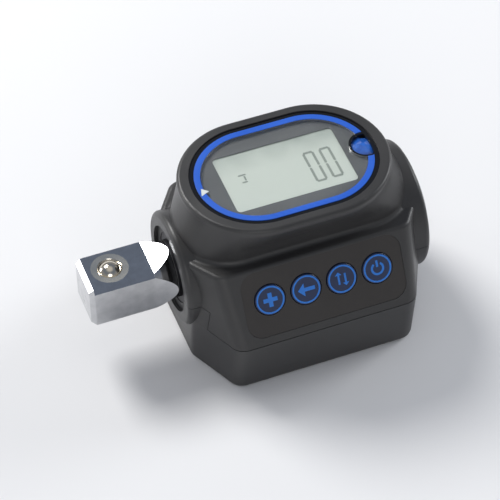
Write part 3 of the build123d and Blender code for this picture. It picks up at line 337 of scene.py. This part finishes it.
def makeFinish(name, spec):
    material = bpy.data.materials.new(name)
    material.use_nodes = True
    tree = material.node_tree
    add = tree.nodes.new
    link = tree.links.new
    shader = tree.nodes["Principled BSDF"]
    detail = add("ShaderNodeGroup")
    detail.node_tree = surfaceDetail
    detail.inputs["Grain Scale"].default_value = spec["grain"]
    if "cloud" in spec:
        detail.inputs["Cloud Scale"].default_value = spec["cloud"]
    shade = add("ShaderNodeMix")
    shade.data_type = "RGBA"
    shade.inputs["A"].default_value = (*spec["color"], 1)
    shade.inputs["B"].default_value = (*spec["other"], 1)
    wear = add("ShaderNodeMapRange")  # scratches are duller than the rest
    wear.inputs["To Max"].default_value = spec["scratch"]
    gloss = add("ShaderNodeMapRange")
    gloss.inputs["From Min"].default_value = surface["cloudRange"][0]
    gloss.inputs["From Max"].default_value = surface["cloudRange"][1]
    gloss.inputs["To Min"].default_value = spec["rough"][0]
    gloss.inputs["To Max"].default_value = spec["rough"][1]
    rough = add("ShaderNodeMath")
    rough.operation = "ADD"
    rough.use_clamp = True
    link(detail.outputs["Cloud"], shade.inputs["Factor"])
    link(shade.outputs["Result"], shader.inputs["Base Color"])
    link(detail.outputs["Cloud"], gloss.inputs["Value"])
    link(detail.outputs["Scratch"], wear.inputs["Value"])
    link(gloss.outputs["Result"], rough.inputs[0])
    link(wear.outputs["Result"], rough.inputs[1])
    link(rough.outputs["Value"], shader.inputs["Roughness"])
    if spec["bump"] > 0:
        bump = add("ShaderNodeBump")
        bump.inputs["Strength"].default_value = surface["grainStrength"]
        bump.inputs["Distance"].default_value = spec["bump"] * mm
        link(detail.outputs["Grain"], bump.inputs["Height"])
        link(bump.outputs["Normal"], shader.inputs["Normal"])
        if "scuff" in spec:  # scratches that also catch the light
            scuff = add("ShaderNodeBump")
            scuff.inputs["Strength"].default_value = 1.0
            scuff.inputs["Distance"].default_value = spec["scuff"] * mm
            link(detail.outputs["Scratch"], scuff.inputs["Height"])
            link(scuff.outputs["Normal"], bump.inputs["Normal"])
    # painted shade: the shaft's stretch inside the housing turns near-black
    if "boreShade" in spec:
        addBoreShade(tree, shader, spec["boreShade"])
    shader.inputs["Metallic"].default_value = spec["metal"]
    shader.inputs["Coat Weight"].default_value = spec.get("coat", 0.0)
    materials[name] = material


for name, spec in finishes.items():
    makeFinish(name, spec)

# clear window, which lets the light through to the display under it
glass = {"tint": (0.96, 0.98, 0.97), "rough": 0.03, "ior": 1.38}


def makeGlass(spec):
    material = bpy.data.materials.new("lens_tint")
    material.use_nodes = True
    tree = material.node_tree
    shader = tree.nodes["Principled BSDF"]
    shader.inputs["Base Color"].default_value = (*spec["tint"], 1)
    shader.inputs["Transmission Weight"].default_value = 1.0
    shader.inputs["IOR"].default_value = spec["ior"]
    shader.inputs["Roughness"].default_value = spec["rough"]
    out = tree.nodes["Material Output"]
    clear = tree.nodes.new("ShaderNodeBsdfTransparent")
    path = tree.nodes.new("ShaderNodeLightPath")
    either = tree.nodes.new("ShaderNodeMath")
    either.operation = "MAXIMUM"
    mix = tree.nodes.new("ShaderNodeMixShader")
    tree.links.new(path.outputs["Is Shadow Ray"], either.inputs[0])
    tree.links.new(path.outputs["Is Diffuse Ray"], either.inputs[1])
    tree.links.new(either.outputs[0], mix.inputs["Fac"])
    tree.links.new(shader.outputs[0], mix.inputs[1])
    tree.links.new(clear.outputs[0], mix.inputs[2])
    tree.links.new(mix.outputs[0], out.inputs["Surface"])
    materials["lens_tint"] = material


makeGlass(glass)

# pale display glass, with a painted shadow along its rear edge: darker and a little greener towards
# +Y
display = {
    "pale": (0.52, 0.56, 0.51),
    "shadowTone": (0.22, 0.25, 0.23),
    "rough": 0.35,
    "shadeFade": (2.0, 8.6),  # mm across the part, from the pale colour to the painted shadow
    "mottle": 140.0,
}


def makeDisplay(spec):
    material = bpy.data.materials.new("display_grey")
    material.use_nodes = True
    tree = material.node_tree
    add = tree.nodes.new
    link = tree.links.new
    shader = tree.nodes["Principled BSDF"]
    coord = add("ShaderNodeTexCoord")
    split = add("ShaderNodeSeparateXYZ")
    # painted shadow: the rear edge darkens, broken up by the mottle
    shadeFade = add("ShaderNodeMapRange")
    shadeFade.inputs["From Min"].default_value = spec["shadeFade"][0] * mm
    shadeFade.inputs["From Max"].default_value = spec["shadeFade"][1] * mm
    mottle = add("ShaderNodeTexNoise")
    mottle.inputs["Scale"].default_value = spec["mottle"]
    blend = add("ShaderNodeMath")
    blend.operation = "MULTIPLY"
    shade = add("ShaderNodeMix")
    shade.data_type = "RGBA"
    shade.inputs["A"].default_value = (*spec["pale"], 1)
    shade.inputs["B"].default_value = (*spec["shadowTone"], 1)
    link(coord.outputs["Object"], split.inputs[0])
    link(coord.outputs["Object"], mottle.inputs["Vector"])
    link(split.outputs["Y"], shadeFade.inputs["Value"])
    link(shadeFade.outputs["Result"], blend.inputs[0])
    link(mottle.outputs["Fac"], blend.inputs[1])
    link(blend.outputs["Value"], shade.inputs["Factor"])
    link(shade.outputs["Result"], shader.inputs["Base Color"])
    shader.inputs["Roughness"].default_value = spec["rough"]
    materials["display_grey"] = material


makeDisplay(display)
for part in frame["record"]["subparts"]:
    for place in nodes[part["node"]].material_slots:
        place.material = materials[part["material_slot"]]
print("materials made:", len(materials))

# helpers for the pieces, and how finely they work
meshWork = {
    "merge": 0.002,  # mm
    "cut": 0.0005,
    "level": 0.004,
    "flatAngle": 5,  # degrees
}


def finishPiece(piece, finish, body, angle=30):
    selectOnly(piece)
    bpy.ops.object.transform_apply(location=True, rotation=True, scale=True)
    bpy.ops.object.shade_smooth_by_angle(angle=math.radians(angle))
    piece.data.materials.clear()
    piece.data.materials.append(materials[finish])
    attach(piece, body)
    return piece


def cadCopy(node, name):  # own copy of a CAD node's mesh, its loose triangles merged
    piece = bpy.data.objects.new(name, nodes[node].data.copy())
    bpy.context.collection.objects.link(piece)
    selectOnly(piece)
    bpy.ops.object.mode_set(mode="EDIT")
    bpy.ops.mesh.select_all(action="SELECT")
    bpy.ops.mesh.remove_doubles(threshold=meshWork["merge"] * mm)
    bpy.ops.object.mode_set(mode="OBJECT")
    bpy.ops.mesh.customdata_custom_splitnormals_clear()  # they no longer fit once the shape changes
    return piece


def cutAway(piece, point, normal):  # drops what lies beyond a plane and closes the cut
    selectOnly(piece)
    bpy.ops.object.mode_set(mode="EDIT")
    bpy.ops.mesh.select_all(action="SELECT")
    bpy.ops.mesh.bisect(
        plane_co=point,
        plane_no=normal,
        use_fill=True,
        clear_outer=True,
        threshold=meshWork["cut"] * mm,
    )
    bpy.ops.mesh.select_all(action="SELECT")
    bpy.ops.mesh.normals_make_consistent(inside=False)
    bpy.ops.object.mode_set(mode="OBJECT")


def roundOver(piece, width, segments, limit):  # rounds edges sharper than the limit, in degrees
    selectOnly(piece)
    soften = piece.modifiers.new("soften", "BEVEL")
    soften.width = width * mm
    soften.segments = segments
    soften.limit_method = "ANGLE"
    soften.angle_limit = math.radians(limit)
    bpy.ops.object.modifier_apply(modifier="soften")


def applyCut(piece, tool):  # takes the tool's shape out of the piece
    selectOnly(piece)
    cut = piece.modifiers.new("cut", "BOOLEAN")
    cut.operation = "DIFFERENCE"
    cut.solver = "EXACT"
    cut.object = tool
    bpy.ops.object.modifier_apply(modifier=cut.name)
    bpy.data.objects.remove(tool)


def flattenTop(piece):  # one flat top face with a sharp rim, so it shades flat
    selectOnly(piece)
    top = max(point.co.z for point in piece.data.vertices)
    bpy.ops.object.mode_set(mode="EDIT")
    bpy.ops.mesh.select_mode(type="FACE")
    bpy.ops.mesh.select_all(action="DESELECT")
    bpy.ops.object.mode_set(mode="OBJECT")
    for point in piece.data.vertices:
        if point.co.z > top - meshWork["level"] * mm:
            point.co.z = top
    for side in piece.data.polygons:
        side.select = all(piece.data.vertices[i].co.z == top for i in side.vertices)
    bpy.ops.object.mode_set(mode="EDIT")
    bpy.ops.mesh.dissolve_limited(angle_limit=math.radians(meshWork["flatAngle"]))
    bpy.ops.mesh.region_to_loop()
    bpy.ops.mesh.mark_sharp()
    bpy.ops.object.mode_set(mode="OBJECT")


def roundedPlate(name, middle, size, radius, segments=8):  # plate with rounded upright corners
    deselectAll()
    bpy.ops.mesh.primitive_cube_add(size=1, location=middle)
    plate = bpy.context.object
    plate.name = name
    plate.scale = size
    bpy.ops.object.transform_apply(location=True, rotation=True, scale=True)
    bpy.ops.object.mode_set(mode="EDIT")
    bpy.ops.mesh.select_mode(type="EDGE")
    bpy.ops.mesh.select_all(action="DESELECT")
    bpy.ops.object.mode_set(mode="OBJECT")
    for edge in plate.data.edges:
        a, b = (plate.data.vertices[i].co for i in edge.vertices)
        edge.select = abs(a.z - b.z) > size[2] / 2  # the upright ones
    bpy.ops.object.mode_set(mode="EDIT")
    bpy.ops.mesh.bevel(offset=radius, segments=segments, affect="EDGES")
    bpy.ops.object.mode_set(mode="OBJECT")
    return plate


# window over the display, its grey border printed under it
window = {
    "shift": (0.0, -0.4),  # mm from the middle of the head
    "size": (31.0, 18.5),
    "corner": 1.0,
    "print": 0.08,  # thickness of the border
    "clear": 0.02,  # between the print and the window over it
    "cutDepth": 1.0,
}
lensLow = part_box("display_lens")[0]
lcdLow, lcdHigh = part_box("lcd_panel")
headMiddle = (lcdLow.x + lcdHigh.x) / 2
windowX = headMiddle + window["shift"][0] * mm
windowY = window["shift"][1] * mm
printTop = lensLow.z + window["print"] * mm

windowLens = cadCopy("display_lens", "windowLens")
cutAway(windowLens, (0, 0, printTop + window["clear"] * mm), (0, 0, -1))
flattenTop(windowLens)
finishPiece(windowLens, "lens_tint", "adapter")
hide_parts("display_lens")

windowBorder = cadCopy("display_lens", "windowBorder")
cutAway(windowBorder, (0, 0, printTop), (0, 0, 1))
opening = roundedPlate(
    "windowOpening",
    (windowX, windowY, printTop),
    (window["size"][0] * mm, window["size"][1] * mm, window["cutDepth"] * mm),
    window["corner"] * mm,
)
applyCut(windowBorder, opening)
finishPiece(windowBorder, "mask_grey", "adapter")
print("window made")

# detent spring, in a mesh of its own
coil = cadCopy("detent_spring", "detentCoil")
finishPiece(coil, "spring_steel", "adapter")
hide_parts("detent_spring")
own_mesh(coil)
print("spring made")

# coloured ring, its edges rounded over
ringTrim = {"round": 0.85, "segments": 8, "limit": 50, "smooth": 40}
accentRing = cadCopy("accent_ring", "accentRing")
roundOver(accentRing, ringTrim["round"], ringTrim["segments"], ringTrim["limit"])
finishPiece(accentRing, "accent_blue", "adapter", ringTrim["smooth"])
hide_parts("accent_ring")
print("ring made")

# figures on the display: slim bars, each with pointed ends
figures = {
    "bar": 0.62,
    "gap": 0.14,
    "rise": 0.03,
    "lift": 0.01,
    "top": 3.3,
    "bottom": -7.0,
    "places": (14.75, 18.95),  # left edges
    "width": 2.95,
    "tuck": 0.5,  # reach of the level bars between the upright ones, as a share of a bar
    "mark": (-2.3, 2.0, 2.0, 3.0),  # left, top, width, height of the small mark
    "markBar": 0.45,
    "markInset": 0.3,
    "markStem": (0.72, 0.5),  # place and length of its upright, as shares of the mark
    "markFoot": 0.7,  # length of its lower bar, as a share of the width
}


def addBar(x, y, length, upright, width):  # drawn-out hexagon, with its points at the ends
    deselectAll()
    bpy.ops.mesh.primitive_cylinder_add(
        vertices=6,
        radius=width / 2 / math.sin(math.radians(60)) * mm,
        depth=figures["rise"] * mm,
        location=(x * mm, y * mm, lcdHigh.z + (figures["rise"] / 2 + figures["lift"]) * mm),
        rotation=(0, 0, math.radians(90)),
    )
    bar = bpy.context.object
    bpy.ops.object.transform_apply(location=False, rotation=True, scale=True)
    half = (length - width) / 2 * mm
    for point in bar.data.vertices:  # the ends move out, so the middle grows to length
        point.co.x += math.copysign(half, point.co.x)
    if upright:
        bar.rotation_euler = (0, 0, math.radians(90))
    bpy.ops.object.transform_apply(location=True, rotation=True, scale=True)
    return bar


def addFigures(sizes):
    bars = []
    thick = sizes["bar"]
    middle = (sizes["top"] + sizes["bottom"]) / 2
    for left in sizes["places"]:
        right = left + sizes["width"]
        across = sizes["width"] - thick - 2 * sizes["gap"]
        down = (sizes["top"] - sizes["bottom"] - thick) / 2 - 2 * sizes["gap"]
        for y in (sizes["top"], sizes["bottom"]):
            inward = -math.copysign(thick / 2, y - middle)
            length = across + thick * sizes["tuck"]
            bars.append(addBar((left + right) / 2, y + inward, length, False, thick))
        for x in (left + thick / 2, right - thick / 2):
            for y in (middle + down / 2 + sizes["gap"], middle - down / 2 - sizes["gap"]):
                bars.append(addBar(x, y, down, True, thick))
    left, top, wide, tall = sizes["mark"]
    thin, inset = sizes["markBar"], sizes["markInset"]
    stemPlace, stemLength = sizes["markStem"]
    bars.append(addBar(left + wide / 2, top - inset, wide, False, thin))
    bars.append(addBar(left + wide * stemPlace, top - tall / 2, tall * stemLength, True, thin))
    bars.append(addBar(left + wide / 2, top - tall + inset, wide * sizes["markFoot"], False, thin))
    deselectAll()
    for bar in bars:
        bar.select_set(True)
    bpy.context.view_layer.objects.active = bars[0]
    bpy.ops.object.join()
    joined = bpy.context.object
    joined.name = "displayFigures"
    return joined


displayFigures = addFigures(figures)
finishPiece(displayFigures, "digit_grey", "adapter")
print("figures made")

# indicator jewel: the CAD window with its top cut to facets
jewel = {"facets": 7, "table": 0.7, "tilt": 24.0, "turn": 12.0, "drop": 0.05, "smooth": 8}
jewelLow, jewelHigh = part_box("indicator_lens")
jewelX = (jewelLow.x + jewelHigh.x) / 2
tilt = math.radians(jewel["tilt"])
indicatorJewel = cadCopy("indicator_lens", "indicatorJewel")
for step in range(jewel["facets"]):
    angle = math.radians(jewel["turn"] + step * 360 / jewel["facets"])
    away = Vector((math.cos(angle), math.sin(angle), 0))
    point = Vector((jewelX, 0, jewelHigh.z - jewel["drop"] * mm)) + away * jewel["table"] * mm
    cutAway(indicatorJewel, point, away * math.sin(tilt) + Vector((0, 0, math.cos(tilt))))
finishPiece(indicatorJewel, "indicator_blue", "adapter", jewel["smooth"])
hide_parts("indicator_lens")
print("jewel made")

# printed rings and signs on the buttons, on the leaning face
keys = {
    "lean": 30.0,
    "ring": 3.35,
    "line": 0.42,
    "steps": 48,  # round a whole ring
    "rise": 0.035,
    "crown": 0.02,  # depth that still counts as the top of a button
    "plus": (1.8, 1.05),  # reach and bar
    "back": (2.2, 0.95, 1.7),  # reach, bar and head
    "units": (1.6, 0.5, 0.85),
    "unitsShift": (0.85, 0.3),
    "power": {"ring": 1.45, "line": 0.55, "start": 55, "sweep": 290, "bar": (0.55, 1.7, 0, 1.25)},
}
lean = math.radians(keys["lean"])
faceOut = Vector((0, -math.cos(lean), math.sin(lean)))
faceUp = Vector((0, math.sin(lean), math.cos(lean)))


def keyPlace(node):  # middle of a button's crown and the turn of the face
    low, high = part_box(node)
    points = [vertex.co for vertex in nodes[node].data.vertices]
    crown = max(point.dot(faceOut) for point in points)
    near = [point for point in points if point.dot(faceOut) > crown - keys["crown"] * mm]
    middle = sum(near, Vector()) / len(near)
    middle.x = (low.x + high.x) / 2
    turn = Matrix((Vector((1, 0, 0)), faceUp, faceOut)).transposed().to_4x4()
    return Matrix.Translation(middle) @ turn


def flatSign(name, outline, depth):  # closed outline in mm made into a thin raised plate
    deselectAll()
    bpy.ops.mesh.primitive_circle_add(vertices=len(outline), radius=1, fill_type="NGON")
    sign = bpy.context.object
    sign.name = name
    for vertex, (x, y) in zip(sign.data.vertices, outline):
        vertex.co = (x * mm, y * mm, 0)
    bpy.ops.object.mode_set(mode="EDIT")
    bpy.ops.mesh.select_all(action="SELECT")
    bpy.ops.mesh.extrude_region_move(TRANSFORM_OT_translate={"value": (0, 0, depth * mm)})
    bpy.ops.mesh.select_all(action="SELECT")
    bpy.ops.mesh.normals_make_consistent(inside=False)
    bpy.ops.object.mode_set(mode="OBJECT")
    return sign


def flatRing(name, radius, line, depth, start=0.0, sweep=360.0):  # thin raised ring, whole or open
    steps = int(keys["steps"] * sweep / 360)
    closed = sweep >= 360
    deselectAll()
    bpy.ops.mesh.primitive_plane_add(size=1)
    ring = bpy.context.object
    ring.name = name
    for vertex in ring.data.vertices:
        side = 1 if vertex.co.x > 0 else -1
        up = 1 if vertex.co.y > 0 else 0
        vertex.co = ((radius + side * line / 2) * mm, 0, up * depth * mm)
    bpy.ops.object.mode_set(mode="EDIT")
    bpy.ops.mesh.select_all(action="SELECT")
    bpy.ops.transform.rotate(value=-math.radians(start), orient_axis="Z", center_override=(0, 0, 0))
    if closed:  # only the outline is spun, so no face is left inside
        bpy.ops.mesh.delete(type="ONLY_FACE")
        bpy.ops.mesh.select_all(action="SELECT")
    bpy.ops.mesh.spin(steps=steps, angle=math.radians(sweep), center=(0, 0, 0), axis=(0, 0, 1))
    bpy.ops.mesh.select_all(action="SELECT")
    if closed:
        bpy.ops.mesh.remove_doubles(threshold=meshWork["merge"] * mm)
        bpy.ops.mesh.delete_loose()
    bpy.ops.mesh.normals_make_consistent(inside=False)
    bpy.ops.object.mode_set(mode="OBJECT")
    return ring


def crossOutline(reach, bar):
    r, b = reach, bar / 2
    arm = [(b, r), (b, b), (r, b)]
    outline = []
    for _ in range(4):
        outline += arm
        arm = [(y, -x) for x, y in arm]
    return outline


def arrowOutline(reach, bar, head):
    b, h = bar / 2, head
    neck = -reach + h
    return [(-reach, 0), (neck, h), (neck, b), (reach, b), (reach, -b), (neck, -b), (neck, -h)]


def barOutline(wide, tall, x=0.0, y=0.0):
    w, t = wide / 2, tall / 2
    return [(x - w, y - t), (x + w, y - t), (x + w, y + t), (x - w, y + t)]


def turned(outline, x, y, quarter):  # by quarter turns, then moved
    for _ in range(quarter):
        outline = [(-b, a) for a, b in outline]
    return [(a + x, b + y) for a, b in outline]


def signParts(kind, depth):
    if kind == "plus":
        return [flatSign("sign", crossOutline(*keys["plus"]), depth)]
    if kind == "back":
        return [flatSign("sign", arrowOutline(*keys["back"]), depth)]
    if kind == "units":  # two opposed arrows, for changing over
        x, y = keys["unitsShift"]
        arrow = arrowOutline(*keys["units"])
        up = turned(arrow, -x, y, 3)
        down = turned(arrow, x, -y, 1)
        return [flatSign("sign", up, depth), flatSign("sign", down, depth)]
    power = keys["power"]
    ring = flatRing("sign", power["ring"], power["line"], depth, power["start"], power["sweep"])
    return [ring, flatSign("sign", barOutline(*power["bar"]), depth)]


def addKeyPrint(node, kind):
    depth = keys["rise"]
    parts = [flatRing("ring", keys["ring"], keys["line"], depth)] + signParts(kind, depth)
    deselectAll()
    for part in parts:
        part.select_set(True)
    bpy.context.view_layer.objects.active = parts[0]
    bpy.ops.object.join()
    piece = bpy.context.object
    piece.name = f"keyPrint{kind.capitalize()}"
    piece.matrix_world = keyPlace(node)
    finishPiece(piece, "print_blue", node)
    return piece


for kind in ("plus", "back", "units", "power"):
    addKeyPrint(f"button_{kind}", kind)
print("button signs made")
